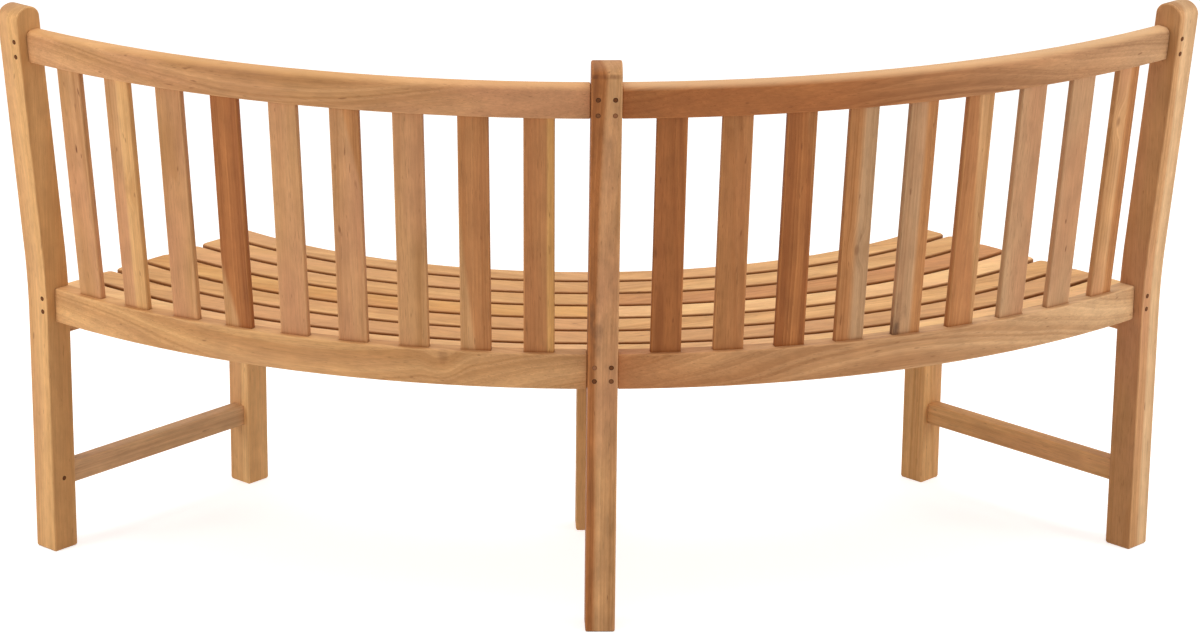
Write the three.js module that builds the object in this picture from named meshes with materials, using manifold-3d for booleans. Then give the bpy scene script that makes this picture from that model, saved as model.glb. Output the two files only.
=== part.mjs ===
// A two-bay garden bench in solid teak, on an arc that is close to a quarter of a circle.
// Three back posts and three front legs stand on radial lines. Curved rails join the posts, slats stand
// between the rails, and seven rows of curved boards lie on radial bearers. Rails, bearers and stretchers
// end in tenons, and the slats in housings. Millimetres, +Z up. The people on the bench face -Y, and its
// convex back faces +Y.

import * as THREE from 'three';
import { mergeVertices } from 'three/addons/utils/BufferGeometryUtils.js';
import Module from 'manifold-3d';

const wasm = await Module();
wasm.setup();

// Height, and the arc that the backs of the posts stand on
const overallHeight = 900;
const bayAngle = THREE.MathUtils.degToRad(43.8);
const backRadius = 1266;

// Back posts: upright below the bend, which lies just above the seat, leaning back above it, with a
// domed top
const postWidth = 45;
const postDepth = 48;
const backLean = THREE.MathUtils.degToRad(5.5);
const bendRise = 23;
const bendReach = 60;
const crownHeight = 19;

// Front legs
const legWidth = 45;
const legDepth = 45;

// Seat boards
const seatHeight = 424;
const boardRows = 7;
const boardWidth = 53.5;
const boardThickness = 21;
const boardGap = 9;
const boardCorner = 12;
const boardEase = 1.5;
const boardNose = 10;
const boardOverhang = 2.5;
const frontOverhang = 14.5;
const boardBackClearance = 12;
const boardMeetingGap = 2;

// Curved rails of the back. The lower one is hung from the height of the seat, the top one from the posts.
const railThickness = 30;
const railSetIn = 16;
const lowerRailDrop = 39;
const lowerRailHeight = 55;
const topRailDrop = 61;
const topRailHeight = 50;
const topRailRound = 10;

// Back slats
const slatsPerBay = 9;
const slatWidth = 46;
const slatThickness = 12;
const slatHousing = 10;

// Seat bearers, front rails and side stretchers
const bearerThickness = 30;
const bearerHeight = 45;
const frontRailThickness = 25;
const frontRailHeight = 50;
const frontRailSetIn = 5;
const stretcherThickness = 25;
const stretcherHeight = 35;
const stretcherBottom = 103;

// Joints and edges
const tenonThickness = 12;
const tenonLength = 18;
const tenonWall = 1.5;
const railTenonHeight = 34;
const bearerTenonHeight = 24;
const stretcherTenonHeight = 20;
const tenonShoulder = 8;
const tenonRoot = 12;
const seatGap = 0.3;
const edgeEase = 2.5;
const footEase = 3;
const cutOverrun = 5;

// Counts of straight steps in the curves
const railSteps = 20;
const boardSteps = 16;
const edgeSteps = 2;
const roundSteps = 4;
const cornerSteps = 4;
const bendSteps = 9;

// Places that follow from the sizes
const bendHeight = seatHeight + bendRise;
const lowerRailBottom = seatHeight - lowerRailDrop;
const postFront = backRadius - postDepth;
const railRadius = backRadius - railSetIn - railThickness / 2;
const seatBack = Math.min(postFront, railRadius - railThickness / 2) - boardBackClearance;
const boardPitch = boardWidth + boardGap;
const seatFront = seatBack - boardRows * boardPitch + boardGap;
const legFront = seatFront + frontOverhang;
const legRadius = legFront + legDepth;
const legCentre = legFront + legDepth / 2;
const frontRailRadius = legFront + frontRailSetIn + frontRailThickness / 2;
const lowerRailTop = lowerRailBottom + lowerRailHeight;
const lowerRailMiddle = lowerRailBottom + lowerRailHeight / 2;
const boardUnderside = seatHeight - boardThickness;
const supportTop = boardUnderside - seatGap;
const topRailMiddle = overallHeight - topRailDrop;
const backRise = (topRailMiddle - lowerRailTop) / Math.cos(backLean);
const topRailRadius = railRadius + backRise * Math.sin(backLean);
const bearerBottom = supportTop - bearerHeight;
const frontRailMiddle = supportTop - frontRailHeight / 2;
const boardEndOffset = legWidth / 2 + boardOverhang;

// A closed mesh as a solid that can be cut and joined
function solid(geometry) {
  const bare = geometry.clone();
  bare.deleteAttribute('normal');
  bare.deleteAttribute('uv');
  const welded = mergeVertices(bare);
  const vertProperties = new Float32Array(welded.attributes.position.array);
  const triVerts = new Uint32Array(welded.index.array);
  return new wasm.Manifold(new wasm.Mesh({ numProp: 3, vertProperties, triVerts }));
}

// The cut or joined solid as a geometry
function surface(body) {
  const { vertProperties, triVerts } = body.getMesh();
  const geometry = new THREE.BufferGeometry();
  geometry.setAttribute('position', new THREE.BufferAttribute(vertProperties, 3));
  geometry.setIndex(new THREE.BufferAttribute(triVerts, 1));
  return geometry;
}

// The outline of a bar: a rectangle whose four corners are rounded, the top two by their own radius
function barOutline(width, height, topRound, lowRound) {
  const corners = [
    [1, -1, lowRound],
    [1, 1, topRound],
    [-1, 1, topRound],
    [-1, -1, lowRound],
  ];
  return corners.flatMap(([sideX, sideY, round], index) => {
    const centre = new THREE.Vector2(sideX * (width / 2 - round), sideY * (height / 2 - round));
    const start = (index - 1) * (Math.PI / 2);
    const steps = round > edgeEase ? roundSteps : edgeSteps;
    return Array.from({ length: steps + 1 }, (_, step) => {
      const angle = start + (step / steps) * (Math.PI / 2);
      return new THREE.Vector2(Math.cos(angle), Math.sin(angle)).multiplyScalar(round).add(centre);
    });
  });
}

// A level arc about the centre of the bench. Angles count from +Y towards +X.
class LevelArc extends THREE.Curve {
  constructor(radius, height, from, to) {
    super();
    Object.assign(this, { radius, height, from, to });
  }

  getPoint(share) {
    const angle = THREE.MathUtils.lerp(this.from, this.to, share);
    return new THREE.Vector3(this.radius * Math.sin(angle), this.radius * Math.cos(angle), this.height);
  }
}

// A bar bent along the arc of one bay. Its outline leans outwards by the given angle.
function bentBar(outline, radius, height, lean) {
  const leaning = outline.map((point) => point.clone().rotateAround(new THREE.Vector2(), -lean));
  const shape = new THREE.Shape(leaning.map((point) => new THREE.Vector2(-point.y, point.x)));
  const extrudePath = new LevelArc(radius, height, -bayAngle / 2, bayAngle / 2);
  return new THREE.ExtrudeGeometry(shape, { steps: railSteps, bevelEnabled: false, extrudePath });
}

// The tenon at one end of a curved rail, in the frame of the post or leg that it enters. It stops short of
// the bearer's tenon in the middle. side is 1 where the rail lies towards +X of the post, and -1 towards
// -X. grow widens it into the mortise.
function sideTenon(rail, side, grow) {
  const tip = tenonThickness / 2 + tenonWall - grow;
  const root = rail.postWidth / 2 + tenonRoot;
  const geometry = new THREE.BoxGeometry(root - tip, tenonThickness + 2 * grow, railTenonHeight + 2 * grow);
  geometry.translate((side * (tip + root)) / 2, 0, 0);
  geometry.rotateX(-rail.lean);
  geometry.translate(0, rail.radius, rail.height);
  return geometry;
}

// The stretch of a curved bar that would lie inside the post at its end, in that post's frame
function shoulderCut(rail) {
  const across = rail.postWidth + 2 * seatGap;
  const around = 2 * (rail.thickness + rail.tall);
  return new THREE.BoxGeometry(across, around, around).translate(0, rail.radius, rail.height);
}

// A curved rail of one bay: the bent bar, cut square to each post, with a tenon at each end
function curvedRail(rail) {
  const outline = barOutline(rail.thickness, rail.tall, rail.topRound, edgeEase);
  let body = solid(bentBar(outline, rail.radius, rail.height, rail.lean));
  for (const side of [-1, 1]) {
    const turn = side * (bayAngle / 2);
    body = body.subtract(solid(shoulderCut(rail).rotateZ(turn)));
    body = body.add(solid(sideTenon(rail, side, 0).rotateZ(turn)));
  }
  return body;
}

const topRail = {
  radius: topRailRadius,
  height: topRailMiddle,
  thickness: railThickness,
  tall: topRailHeight,
  topRound: topRailRound,
  lean: backLean,
  postWidth,
};

const lowerRail = {
  radius: railRadius,
  height: lowerRailMiddle,
  thickness: railThickness,
  tall: lowerRailHeight,
  topRound: edgeEase,
  lean: 0,
  postWidth,
};

const frontRail = {
  radius: frontRailRadius,
  height: frontRailMiddle,
  thickness: frontRailThickness,
  tall: frontRailHeight,
  topRound: edgeEase,
  lean: 0,
  postWidth: legWidth,
};

// Where a slat stands in its bay: on the middle of the lower rail, leaning back towards the top rail. Slats
// count from the middle of the bench.
const slatLow = -slatHousing;
const slatHigh = backRise - topRailHeight / 2 + slatHousing;

function slatPlace(number, side) {
  const angle = side * bayAngle * (number / (slatsPerBay + 1) - 1 / 2);
  const middle = (slatLow + slatHigh) / 2;
  const place = new THREE.Matrix4().makeRotationZ(-angle);
  place.multiply(new THREE.Matrix4().makeTranslation(0, railRadius, lowerRailTop));
  place.multiply(new THREE.Matrix4().makeRotationX(-backLean));
  place.multiply(new THREE.Matrix4().makeTranslation(0, 0, middle));
  return place;
}

function slatNumbers() {
  return Array.from({ length: slatsPerBay }, (_, index) => index + 1);
}

// A straight bar along Z, centred, with eased long edges
function straightBar(width, depth, length) {
  const shape = new THREE.Shape(barOutline(width, depth, edgeEase, edgeEase));
  const geometry = new THREE.ExtrudeGeometry(shape, { depth: length, bevelEnabled: false });
  geometry.translate(0, 0, -length / 2);
  return geometry;
}

function slatSolid() {
  return straightBar(slatWidth, slatThickness, slatHigh - slatLow);
}

// The rails of the back carry the slats in housings, one for each slat
function housedRail(rail) {
  const width = slatWidth + 2 * seatGap;
  const depth = slatThickness + 2 * seatGap;
  const length = slatHigh - slatLow + 2 * seatGap;
  let body = curvedRail(rail);
  for (const number of slatNumbers()) {
    const housing = new THREE.BoxGeometry(width, depth, length);
    body = body.subtract(solid(housing.applyMatrix4(slatPlace(number, 1))));
  }
  return surface(body);
}

// A point of the leaning part of a post: how far in front of its back face, and how far along from the bend
function leaningPoint(forward, along) {
  const radial = backRadius - forward * Math.cos(backLean) + along * Math.sin(backLean);
  const height = bendHeight + forward * Math.sin(backLean) + along * Math.cos(backLean);
  return [radial, height];
}

// The side view of a post, radius across and height up
function postOutline() {
  const crownTop = Math.hypot(crownHeight * Math.cos(backLean), (postDepth / 2) * Math.sin(backLean));
  const crownLift = overallHeight - crownTop - bendHeight - (postDepth / 2) * Math.sin(backLean);
  const crownAlong = crownLift / Math.cos(backLean);
  const frontBend = -postDepth * Math.tan(backLean / 2);
  const [, frontBendHeight] = leaningPoint(postDepth, frontBend);
  const shape = new THREE.Shape();
  shape.moveTo(postFront + footEase, 0);
  shape.lineTo(backRadius - footEase, 0);
  shape.lineTo(backRadius, footEase);
  shape.lineTo(backRadius, bendHeight - bendReach);
  shape.quadraticCurveTo(backRadius, bendHeight, ...leaningPoint(0, bendReach));
  shape.lineTo(...leaningPoint(0, crownAlong));
  const crown = leaningPoint(postDepth / 2, crownAlong);
  shape.absellipse(...crown, postDepth / 2, crownHeight, 0, Math.PI, false, -backLean);
  shape.lineTo(...leaningPoint(postDepth, frontBend + bendReach));
  shape.quadraticCurveTo(postFront, frontBendHeight, postFront, frontBendHeight - bendReach);
  shape.lineTo(postFront, footEase);
  return shape;
}

// A post before its mortises are cut, in its own radial plane
function postBlank() {
  const geometry = new THREE.ExtrudeGeometry(postOutline(), {
    depth: postWidth - 2 * edgeEase,
    curveSegments: bendSteps,
    bevelThickness: edgeEase,
    bevelSize: edgeEase,
    bevelOffset: -edgeEase,
    bevelSegments: edgeSteps,
  });
  geometry.translate(0, 0, edgeEase - postWidth / 2);
  const radial = new THREE.Vector3(0, 1, 0);
  const up = new THREE.Vector3(0, 0, 1);
  const across = new THREE.Vector3(1, 0, 0);
  geometry.applyMatrix4(new THREE.Matrix4().makeBasis(radial, up, across));
  return geometry;
}

// A straight member that runs between a front leg and a back post: a bearer under the boards or a stretcher
const bearer = {
  thickness: bearerThickness,
  tall: bearerHeight,
  bottom: bearerBottom,
  tenonBottom: bearerBottom + tenonShoulder,
  tenonHeight: bearerTenonHeight,
};

const stretcher = {
  thickness: stretcherThickness,
  tall: stretcherHeight,
  bottom: stretcherBottom,
  tenonBottom: stretcherBottom + tenonShoulder,
  tenonHeight: stretcherTenonHeight,
};

// The tenons at both ends of such a member, as one bar that runs right through it
function endTenon(member, grow) {
  const length = postFront - legRadius + 2 * (tenonLength + grow);
  const geometry = new THREE.BoxGeometry(tenonThickness + 2 * grow, length, member.tenonHeight + 2 * grow);
  return geometry.translate(0, (legRadius + postFront) / 2, member.tenonBottom + member.tenonHeight / 2);
}

function radialMember(member) {
  const length = postFront - legRadius - 2 * seatGap;
  const bar = straightBar(member.thickness, member.tall, length);
  bar.rotateX(Math.PI / 2);
  bar.translate(0, (legRadius + postFront) / 2, member.bottom + member.tall / 2);
  return surface(solid(bar).add(solid(endTenon(member, 0))));
}

// A back post with a mortise for each rail, bearer and stretcher that it carries
function backPost(sides, members) {
  let body = solid(postBlank());
  for (const side of sides) {
    body = body.subtract(solid(sideTenon(topRail, side, seatGap)));
    body = body.subtract(solid(sideTenon(lowerRail, side, seatGap)));
  }
  for (const member of members) {
    body = body.subtract(solid(endTenon(member, seatGap)));
  }
  return surface(body);
}

// A front leg stands under the boards, with the same mortises
function frontLeg(sides, members) {
  const shape = new THREE.Shape(barOutline(legWidth, legDepth, edgeEase, edgeEase));
  const blank = new THREE.ExtrudeGeometry(shape, {
    depth: supportTop - 2 * footEase,
    bevelThickness: footEase,
    bevelSize: footEase / 2,
    bevelOffset: -footEase / 2,
    bevelSegments: 1,
  });
  blank.translate(0, legCentre, footEase);
  let body = solid(blank);
  for (const side of sides) {
    body = body.subtract(solid(sideTenon(frontRail, side, seatGap)));
  }
  for (const member of members) {
    body = body.subtract(solid(endTenon(member, seatGap)));
  }
  return surface(body);
}

// A place on a board's plan: on a circle of the bench, beside the radial line of the post at the bay's end
function besidePost(radius, end, offset) {
  const angle = end * (bayAngle / 2) + Math.asin(offset / radius);
  return new THREE.Vector2(radius * Math.sin(angle), radius * Math.cos(angle));
}

function angleOf(point) {
  return Math.atan2(point.x, point.y);
}

// Where the straight run of a board's edge starts and stops, as angles in the frame of its bay
function edgeAngles(radius) {
  const start = angleOf(besidePost(radius, -1, boardMeetingGap / 2));
  const end = angleOf(besidePost(radius, 1, boardEndOffset));
  return [start, end - boardCorner / radius];
}

function arcBetween(radius, from, to) {
  return Array.from({ length: boardSteps + 1 }, (_, step) => {
    const angle = THREE.MathUtils.lerp(from, to, step / boardSteps);
    return new THREE.Vector2(radius * Math.sin(angle), radius * Math.cos(angle));
  });
}

// Points round a corner of the plan that is drawn between its neighbours
function roundedCorner(before, corner, after) {
  const start = corner.clone().add(before.clone().sub(corner).setLength(boardCorner));
  const finish = corner.clone().add(after.clone().sub(corner).setLength(boardCorner));
  return new THREE.QuadraticBezierCurve(start, corner, finish).getPoints(cornerSteps);
}

// The plan of one seat board in the frame of its bay, square at the middle of the bench, rounded at its end
function boardPlan(inner, outer, side) {
  const outerEnd = besidePost(outer, 1, boardEndOffset);
  const innerEnd = besidePost(inner, 1, boardEndOffset);
  const outerEdge = arcBetween(outer, ...edgeAngles(outer));
  const innerEdge = arcBetween(inner, ...edgeAngles(inner)).reverse();
  const outerCorner = roundedCorner(outerEdge[boardSteps], outerEnd, innerEnd);
  const innerCorner = roundedCorner(outerEnd, innerEnd, innerEdge[0]);
  const corners = [...outerCorner.slice(1), ...innerCorner.slice(0, -1)];
  const outline = [...outerEdge, ...corners, ...innerEdge];
  return new THREE.Shape(outline.map((point) => new THREE.Vector2(side * point.x, point.y)));
}

function seatBoard(inner, outer, side) {
  const geometry = new THREE.ExtrudeGeometry(boardPlan(inner, outer, side), {
    depth: boardThickness - 2 * boardEase,
    bevelThickness: boardEase,
    bevelSize: boardEase,
    bevelOffset: -boardEase,
    bevelSegments: 1,
  });
  geometry.translate(0, 0, boardEase);
  return geometry;
}

// What is cut away to round the top of the front edge, all along the bay. The outline is drawn with the
// height downwards as x and the radius as y, from the corner of the board.
function noseCut(inner, side) {
  const [start, stop] = edgeAngles(inner).map((angle) => side * angle).sort((a, b) => a - b);
  const step = (stop - start) / boardSteps;
  const shape = new THREE.Shape();
  shape.moveTo(-cutOverrun, -cutOverrun);
  shape.lineTo(boardNose, -cutOverrun);
  shape.lineTo(boardNose, 0);
  shape.absarc(boardNose, boardNose, boardNose, -Math.PI / 2, Math.PI, true);
  shape.lineTo(-cutOverrun, boardNose);
  return new THREE.ExtrudeGeometry(shape, {
    steps: boardSteps + 2,
    curveSegments: roundSteps,
    bevelEnabled: false,
    extrudePath: new LevelArc(inner, boardThickness, start - step, stop + step),
  });
}

// Rows count from the front, whose board is rounded over
function boardRow(row, side) {
  const inner = seatFront + (row - 1) * boardPitch;
  const board = seatBoard(inner, inner + boardWidth, side);
  return row === 1 ? surface(solid(board).subtract(solid(noseCut(inner, side)))) : board;
}

// Each piece gets a finish of its own: oiled teak that has gone a little darker out of the light
function teak(color) {
  return new THREE.MeshStandardMaterial({ color, roughness: 0.62, metalness: 0 });
}

const postColor = 0xb98a5f;
const railColor = 0xc4905f;
const slatColor = 0xbd875a;
const boardColor = 0xe0ab78;
const underColor = 0xa87448;

function named(name, geometry, color) {
  const mesh = new THREE.Mesh(geometry, teak(color));
  mesh.name = name;
  return mesh;
}

// One radial frame: post, leg and bearer, and a stretcher at the ends of the bench
function radialFrame(place, label) {
  const frame = new THREE.Group();
  const atEnd = place !== 0;
  const sides = [-1, 1].filter((side) => Math.abs(place + side) <= 1);
  const members = atEnd ? [bearer, stretcher] : [bearer];
  frame.add(named(`back_post_${label}`, backPost(sides, members), postColor));
  frame.add(named(`front_leg_${label}`, frontLeg(sides, members), postColor));
  frame.add(named(`seat_bearer_${label}`, radialMember(bearer), underColor));
  if (atEnd) {
    frame.add(named(`side_stretcher_${label}`, radialMember(stretcher), underColor));
  }
  frame.rotation.z = -place * bayAngle;
  return frame;
}

// One bay: its curved rails, its slats and its half of every row of boards
function bay(side, label) {
  const frame = new THREE.Group();
  frame.add(named(`top_rail_${label}`, housedRail(topRail), railColor));
  frame.add(named(`lower_back_rail_${label}`, housedRail(lowerRail), railColor));
  frame.add(named(`front_rail_${label}`, surface(curvedRail(frontRail)), underColor));
  for (const number of slatNumbers()) {
    const slat = named(`back_slat_${label}_${number}`, slatSolid(), slatColor);
    slat.applyMatrix4(slatPlace(number, side));
    frame.add(slat);
  }
  for (let row = 1; row <= boardRows; row += 1) {
    const board = named(`seat_board_${label}_${row}`, boardRow(row, side), boardColor);
    board.position.z = boardUnderside;
    frame.add(board);
  }
  frame.rotation.z = -side * (bayAngle / 2);
  return frame;
}

const group = new THREE.Group();
group.add(radialFrame(-1, 'right'), radialFrame(0, 'centre'), radialFrame(1, 'left'));
group.add(bay(-1, 'right'), bay(1, 'left'));

// The origin lies on the ground, under the middle of the bench
const middle = new THREE.Box3().setFromObject(group, true).getCenter(new THREE.Vector3());
group.position.y = -middle.y;

export default group;
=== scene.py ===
# %% [markdown]
# # The looks of a curved teak garden bench
# The bench is solid teak, sawn, planed and sanded, and it is seen new, before sun and rain turn it
# grey. Its form is already right in the CAD model. What Blender adds is what the hand and the eye
# would notice: edges that catch the light, the grain of each plank, the colour that differs from
# plank to plank, and the dowels that lock the joints. The first step loads the CAD model, because
# all the rest is fitted to it.

# %% Load the fixed frame
import math
import random

import bmesh
import bpy
from mathutils import Matrix, Vector
from mathutils.bvhtree import BVHTree


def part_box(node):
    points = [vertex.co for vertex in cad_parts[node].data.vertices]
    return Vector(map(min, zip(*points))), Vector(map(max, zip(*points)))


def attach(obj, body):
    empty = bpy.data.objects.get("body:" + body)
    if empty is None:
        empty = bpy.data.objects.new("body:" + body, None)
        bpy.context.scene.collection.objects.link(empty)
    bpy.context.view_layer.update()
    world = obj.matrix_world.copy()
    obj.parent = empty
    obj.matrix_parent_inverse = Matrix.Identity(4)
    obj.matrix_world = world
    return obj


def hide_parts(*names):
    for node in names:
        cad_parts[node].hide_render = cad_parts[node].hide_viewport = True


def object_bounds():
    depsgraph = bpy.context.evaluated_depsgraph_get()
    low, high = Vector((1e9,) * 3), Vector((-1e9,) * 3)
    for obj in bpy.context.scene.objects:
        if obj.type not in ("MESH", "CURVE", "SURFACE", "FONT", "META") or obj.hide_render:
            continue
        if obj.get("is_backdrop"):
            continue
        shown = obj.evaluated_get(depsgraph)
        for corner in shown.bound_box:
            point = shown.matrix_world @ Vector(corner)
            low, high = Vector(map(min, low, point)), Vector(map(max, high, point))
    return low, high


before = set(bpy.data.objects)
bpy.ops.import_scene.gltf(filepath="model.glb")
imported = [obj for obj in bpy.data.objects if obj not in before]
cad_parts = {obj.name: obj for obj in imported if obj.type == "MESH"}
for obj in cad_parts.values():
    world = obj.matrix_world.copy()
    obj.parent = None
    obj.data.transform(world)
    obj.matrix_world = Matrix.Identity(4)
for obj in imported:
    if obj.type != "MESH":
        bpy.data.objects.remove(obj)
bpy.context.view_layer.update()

print("CAD nodes:", len(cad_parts))

# %% [markdown]
# ## Where the pieces stand
# The bench is part of a circle, so a piece is placed by its turn about the middle of that circle,
# and not by x and y. Three radial frames stand at the turns of the posts. The two bays between
# them are turned by half a bay each way. The middle of the circle is found from the centre post,
# whose front face stands at a known radius.

# %% The circle, and the directions at a turn
MM = 0.001
BAY_ANGLE = math.radians(43.8)
BACK_LEAN = math.radians(5.5)
POST_FRONT_RADIUS = 1218 * MM
SIDES = {"left": 1, "centre": 0, "right": -1}
UP = Vector((0, 0, 1))

arc_centre = Vector((0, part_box("back_post_centre")[0].y - POST_FRONT_RADIUS, 0))
print("Middle of the circle, y in metres:", round(arc_centre.y, 4))


def outward(turn):
    """The level direction away from the middle of the circle. Turns count from +Y towards +X."""
    return Vector((math.sin(turn), math.cos(turn), 0))


def around(turn):
    """The level direction along the circle, towards larger turns."""
    return Vector((math.cos(turn), -math.sin(turn), 0))


def add_object(name, data):
    """An object that holds the data, linked to the scene."""
    thing = bpy.data.objects.new(name, data)
    bpy.context.scene.collection.objects.link(thing)
    return thing


# %% [markdown]
# ## The camera
# The photograph was taken from behind the bench and above it, with a long lens: the two bays look
# nearly the same size and the seat is seen from about 18 degrees above. The camera stands on the
# spot that a fit of the CAD model to the photograph gave. The middle of its picture isn't the
# middle of the frame, which a lens shift gives without turning the camera.

# %% Camera
PICTURE_WIDTH = 1200
FOCAL_PIXELS = 3944.56
SENSOR = 36
CAMERA_PLACE = Vector((239.64, 5895.1, 2316.45)) * MM
CAMERA_YAW = -0.0058
CAMERA_PITCH = -0.31509
CAMERA_ROLL = -0.00419
PRINCIPAL_X = 420


def camera_axes():
    """Right, up and backwards of the camera, as the columns of a turn."""
    ahead = -outward(CAMERA_YAW) * math.cos(CAMERA_PITCH) + UP * math.sin(CAMERA_PITCH)
    right = -around(CAMERA_YAW)
    up = right.cross(ahead)
    turned_right = math.cos(CAMERA_ROLL) * right + math.sin(CAMERA_ROLL) * up
    turned_up = -math.sin(CAMERA_ROLL) * right + math.cos(CAMERA_ROLL) * up
    return Matrix((turned_right, turned_up, -ahead)).transposed()


camera = add_object("camera", bpy.data.cameras.new("camera"))
camera.data.sensor_width = SENSOR
camera.data.lens = FOCAL_PIXELS / PICTURE_WIDTH * SENSOR
camera.data.shift_x = 0.5 - PRINCIPAL_X / PICTURE_WIDTH
camera.matrix_world = Matrix.Translation(CAMERA_PLACE) @ camera_axes().to_4x4()
bpy.context.scene.camera = camera
print("Lens in millimetres:", round(camera.data.lens, 1))

# %% [markdown]
# ## Sanding the pieces
# The CAD model comes in as loose triangles, which would shade as flat facets. A sanded piece of
# wood has soft edges and its bent faces run on without a break. So each piece is a copy of its CAD
# solid that is welded together, freed of the edges that lie flat in a face, and shaded smooth,
# except over edges that are sharper than a sanded one. Weighted normals keep the broad faces flat
# up to the rounded edge. A bevel modifier could round the edges too, but the solids have their
# rounding already, and a copy keeps it at its true size.
#
# Where a rail meets a post, a maker eases the edge of its shoulder before the glue goes in, which
# leaves the fine dark groove at the joint. The shoulders all lie in planes beside the posts, so
# they are easy to find.
#
# Sanding and handling open the grain on the eased edges, which turn a little paler, and the
# material adds painted highlight there too. So that a material can find them, each corner of a
# face gets a number, 1 on the narrow strips of an eased edge and 0 elsewhere.

# %% Weld, clean and shade a copy of a CAD node
WELD = 0.01 * MM
FLAT = math.radians(0.4)
SHARP = math.radians(55)
EASED_STRIP = 2.6 * MM
EASED = "eased edge"
SHOULDER_EASE = 2.5 * MM
SHOULDER_OFFSET = 22.8 * MM
EASE_SEGMENTS = 3
PLANE_ERROR = 0.1 * MM


def shoulder_edges(body):
    """The outer edges of a rail's two end faces, where they butt against the posts."""
    found = []
    for place in (-1, 0, 1):
        aside = around(place * BAY_ANGLE)
        for edge in body.edges:
            asides = [abs((vert.co - arc_centre).dot(aside)) for vert in edge.verts]
            at_shoulder = max(abs(value - SHOULDER_OFFSET) for value in asides) < PLANE_ERROR
            if at_shoulder and edge.is_convex and edge.calc_face_angle(0) > SHARP:
                found.append(edge)
    return found


def sanded_copy(node):
    """A smooth-shaded copy of a CAD node, which stands in for it."""
    mesh = bpy.data.meshes.new(node + "_sanded")
    body = bmesh.new()
    body.from_mesh(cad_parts[node].data)
    bmesh.ops.remove_doubles(body, verts=body.verts, dist=WELD)
    bmesh.ops.dissolve_limit(body, angle_limit=FLAT, verts=body.verts, edges=body.edges)
    body.normal_update()
    if node.startswith(("top_rail", "lower_back_rail")):
        shoulders = shoulder_edges(body)
        bmesh.ops.bevel(
            body,
            geom=shoulders,
            offset=SHOULDER_EASE,
            segments=EASE_SEGMENTS,
            profile=0.5,
            affect="EDGES",
            material=-1,
        )
        body.normal_update()
    for edge in body.edges:
        edge.smooth = edge.calc_face_angle(math.pi) < SHARP
    eased = body.loops.layers.float.new(EASED)
    for face in body.faces:
        face.smooth = True
        width = face.calc_area() / max(edge.calc_length() for edge in face.edges)
        for loop in face.loops:
            loop[eased] = float(width < EASED_STRIP)
    open_edges = sum(not edge.is_manifold for edge in body.edges)
    body.to_mesh(mesh)
    body.free()
    piece = add_object(node + "_sanded", mesh)
    weighted = piece.modifiers.new("flat faces stay flat", "WEIGHTED_NORMAL")
    weighted.mode = "FACE_AREA"
    weighted.keep_sharp = True
    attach(piece, "root")
    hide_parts(node)
    return piece, open_edges


pieces = {}
for node in sorted(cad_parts):
    pieces[node], open_edges = sanded_copy(node)
    if open_edges:
        print("Open edges left in", node, open_edges)
print("Sanded pieces:", len(pieces))

# %% [markdown]
# ## How wood is drawn
# A plank is cut out of a log, and everything on its faces follows from that. Growth rings lie
# round the heart of the log. Where a face is cut square to them they show as straight lines, and
# where it lies along them as long pointed arches. So the pattern is solid: it is worked out in the
# space of the plank, with the heart of the log as a line that runs beside it, and all faces, the
# end grain too, agree with one another. An image wrapped round the piece would break at each edge.
#
# Teak is ring-porous. A ring starts with a row of open pores and ends in a thin dark line, about 3
# to 8 mm further out. Between them the wood changes slowly from straw to brown, with a blush of
# red or olive here and there.

# %% Colours, and one helper for nodes
# The inputs in a list fill the sockets in their order. Math nodes take two or three numbers, and a
# Map Range node takes its value, the two ends of the range that it reads and the two of the range
# that it gives. A Mix node of colours takes its share at 0 and the colours at 6 and 7.
def linear(code):
    """An sRGB colour such as "#E0B080" as the linear colour that shaders take."""
    values = [int(code[start : start + 2], 16) / 255 for start in (1, 3, 5)]
    return (*((v / 12.92 if v <= 0.04045 else ((v + 0.055) / 1.055) ** 2.4) for v in values), 1.0)


def add_node(tree, kind, settings=None, inputs=()):
    """Adds a node to a tree. An input is a plain value, or the output that it is linked from."""
    node = tree.nodes.new(kind)
    for name, value in (settings or {}).items():
        setattr(node, name, value)
    for socket, value in inputs.items() if isinstance(inputs, dict) else enumerate(inputs):
        if isinstance(value, bpy.types.NodeSocket):
            tree.links.new(value, node.inputs[socket])
        else:
            node.inputs[socket].default_value = value
    return node


def empty_finish(name):
    """A material with an empty node tree, and that tree."""
    material = bpy.data.materials.new(name)
    material.use_nodes = True
    material.node_tree.nodes.clear()
    return material, material.node_tree


SMOOTH = {"interpolation_type": "SMOOTHSTEP"}
COLOURS = {"data_type": "RGBA"}
print("A honey tone in linear light:", [round(value, 3) for value in linear("#E0AE7C")])

# %% [markdown]
# ## The grain of teak
# The pattern is one node group that all planks share. It takes the point in the plank's own space,
# the place of the heart, and the tones of that plank. Lengths in the group are metres. The steps
# are: the distance to the heart, bent a little by a slow noise, the dark line at the end of each
# ring, broad bands of tone that keep to the rings, fibres and pores that are drawn out along the
# grain, and then painted shade with some dust, marks, wear with painted highlight on edges, and
# painted light on the tops of the top rails.

# %% Start the group, and name what it takes and gives
grain = bpy.data.node_groups.new("teak grain", "ShaderNodeTree")
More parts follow.
